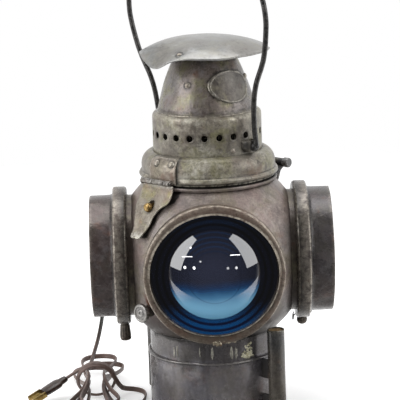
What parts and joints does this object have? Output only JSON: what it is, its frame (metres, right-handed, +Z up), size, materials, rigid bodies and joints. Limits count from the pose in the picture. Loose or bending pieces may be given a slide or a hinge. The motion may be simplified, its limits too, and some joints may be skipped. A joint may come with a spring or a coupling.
{
  "type": "railroad switch lantern",
  "caption": "Round four-lens railroad signal lamp with side hoods, hinged vented lid, wire bail, fork-socket base and a lamp cord.",
  "frame": {"origin": "middle of the base's underside", "axes": "+Z up along the lamp's axis, the front lens faces -Y, the hooded lenses face +X and -X"},
  "size_m": [0.3199, 0.2482, 0.5038],
  "materials": {
    "body_paint": "aged grey-brown enamel with mottled patina",
    "base_paint": "worn blue-grey enamel",
    "band_paint": "dark worn enamel",
    "hood_paint": "dark satin enamel",
    "lid_paint": "olive-grey weathered enamel",
    "cap_steel": "worn light grey",
    "gasket": "matte",
    "blue_glass": "pressed glass, smooth outside",
    "red_glass": "pressed glass, smooth outside",
    "socket_steel": "dark worn",
    "plug_rust": "rust-brown",
    "hinge_iron": "dark",
    "stud_brass": "tarnished",
    "seal_wire": "dull",
    "holder_steel": "zinc plated",
    "holder_brass": "satin",
    "bulb_metal": "satin",
    "frosted_glass": "frosted",
    "relief_rubber": "matte",
    "cord_cover": "old brown vinyl",
    "plug_brown": "moulded",
    "blade_brass": "bright",
    "badge_metal": "grey, rubbed on the rim",
    "hasp_steel": "tarnished",
    "bail_wire": "black",
    "knob_metal": "worn",
    "screw_iron": "dark"
  },
  "bodies": {
    "body": {"globe_shell": "body_paint", "globe_rim": "body_paint", "base_tube": "base_paint", "base_sleeve": "base_paint", "base_pan": "base_paint", "neck_front": "body_paint", "neck_right": "body_paint", "neck_back": "body_paint", "neck_left": "body_paint", "lens_gaskets": "gasket", "lens_front": "blue_glass", "lens_right": "red_glass", "lens_back": "blue_glass", "lens_left": "red_glass", "band_front": "band_paint", "band_right": "band_paint", "band_back": "band_paint", "band_left": "band_paint", "hood_right": "hood_paint", "hood_left": "hood_paint", "fork_socket_front": "socket_steel", "fork_socket_back": "socket_steel", "socket_plugs": "plug_rust", "socket_webs": "base_paint", "hinge_body_leaf": "hinge_iron", "hinge_pin": "hinge_iron", "latch_stud": "stud_brass", "knob_bush": "hinge_iron", "body_rivets": "hinge_iron", "seal_wire": "seal_wire", "holder_plate": "holder_steel", "holder_nipple": "holder_brass", "holder_nut": "holder_brass", "holder_cap": "holder_brass", "holder_shell": "holder_brass", "bulb_cap": "bulb_metal", "bulb_glass": "frosted_glass", "inner_lead": "cord_cover", "strain_relief": "relief_rubber", "cord_drop": "cord_cover", "cord_hank": "cord_cover", "plug_body": "plug_brown", "plug_blades": "blade_brass"},
    "lid": {"lid_dome": "lid_paint", "vent_ring": "lid_paint", "chimney": "lid_paint", "top_cap": "cap_steel", "cap_legs": "lid_paint", "lid_rivets": "lid_paint", "badge_plate": "badge_metal", "hinge_lid_leaf": "hinge_iron", "latch_leaf": "lid_paint", "latch_pin": "hinge_iron", "bail_ears": "lid_paint"},
    "hasp": {"hasp": "hasp_steel"},
    "bail": {"bail": "bail_wire"},
    "wick_knob": {"wick_knob": "knob_metal", "wick_shaft": "knob_metal"},
    "thumb_screw_left": {"thumb_screw_left": "screw_iron"},
    "thumb_screw_right": {"thumb_screw_right": "screw_iron"}
  },
  "joints": [
    {"name": "lid_hinge", "type": "hinge", "parent": "body", "child": "lid", "pos_m": [0.0693, 0.0693, 0.244], "axis": [-0.7071, 0.7071, 0], "range_deg": [0, 95]},
    {"name": "hasp_swing", "type": "hinge", "parent": "lid", "child": "hasp", "pos_m": [-0.0502, -0.0502, 0.249], "axis": [-0.7071, 0.7071, 0], "range_deg": [0, 120]},
    {"name": "bail_swing", "type": "hinge", "parent": "lid", "child": "bail", "pos_m": [0, 0, 0.281], "axis": [0.7071, -0.7071, 0], "range_deg": [-90, 95]},
    {"name": "wick_knob_turn", "type": "hinge", "parent": "body", "child": "wick_knob", "pos_m": [-0.07071, -0.07071, 0.1224], "axis": [-0.7071, -0.7071, 0], "continuous": true},
    {"name": "thumb_screw_left_turn", "type": "hinge", "parent": "body", "child": "thumb_screw_left", "pos_m": [-0.091, 0, 0.09], "axis": [0, 0, -1], "continuous": true},
    {"name": "thumb_screw_right_turn", "type": "hinge", "parent": "body", "child": "thumb_screw_right", "pos_m": [0.091, 0, 0.09], "axis": [0, 0, -1], "continuous": true}
  ]
}
